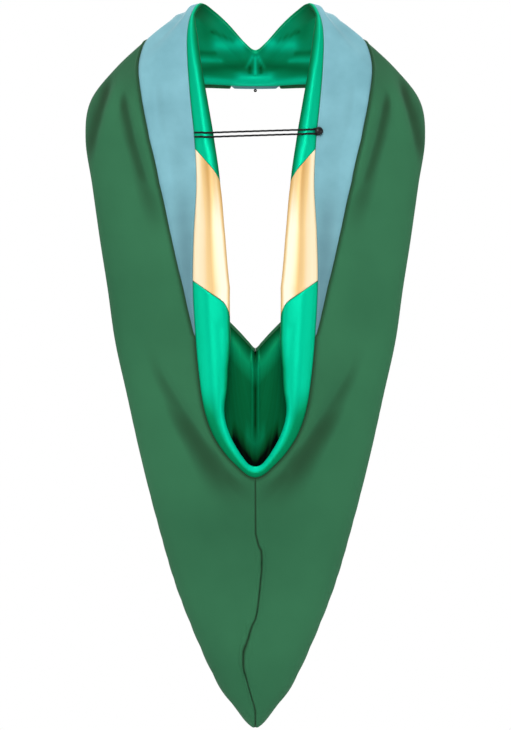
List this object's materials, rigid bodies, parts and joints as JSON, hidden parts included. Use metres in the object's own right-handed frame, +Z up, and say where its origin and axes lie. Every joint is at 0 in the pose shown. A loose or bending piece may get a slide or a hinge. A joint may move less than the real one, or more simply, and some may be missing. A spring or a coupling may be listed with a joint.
{
  "type": "academic hood",
  "caption": "Long back hood worn over a gown, with a narrow neckband, edged neck line, turned-out satin lining with chevrons, and a cord that buttons across the back opening",
  "frame": {"origin": "The centre of the neck opening, at the height where the hood sits on the shoulders, 40 mm below the top of its two peaks", "axes": "Z is up, with the tip at the bottom. X runs across the shoulders, positive to the right as seen from behind. Y runs from the back to the chest, so the back opening faces -Y"},
  "size_m": [0.5002, 0.2623, 1.0658],
  "materials": {
    "shell": "matte",
    "edging": "soft sheen",
    "lining": "satin",
    "chevron": "satin",
    "cord": "matte",
    "button": "glossy"
  },
  "bodies": {
    "root": {"shell_left": "shell", "shell_right": "shell", "edging": "edging", "lining_neck": "lining", "chevron_left": "chevron", "chevron_right": "chevron", "lining_lower": "lining", "cord": "cord", "button": "button", "front_loop": "cord"}
  },
  "joints": []
}
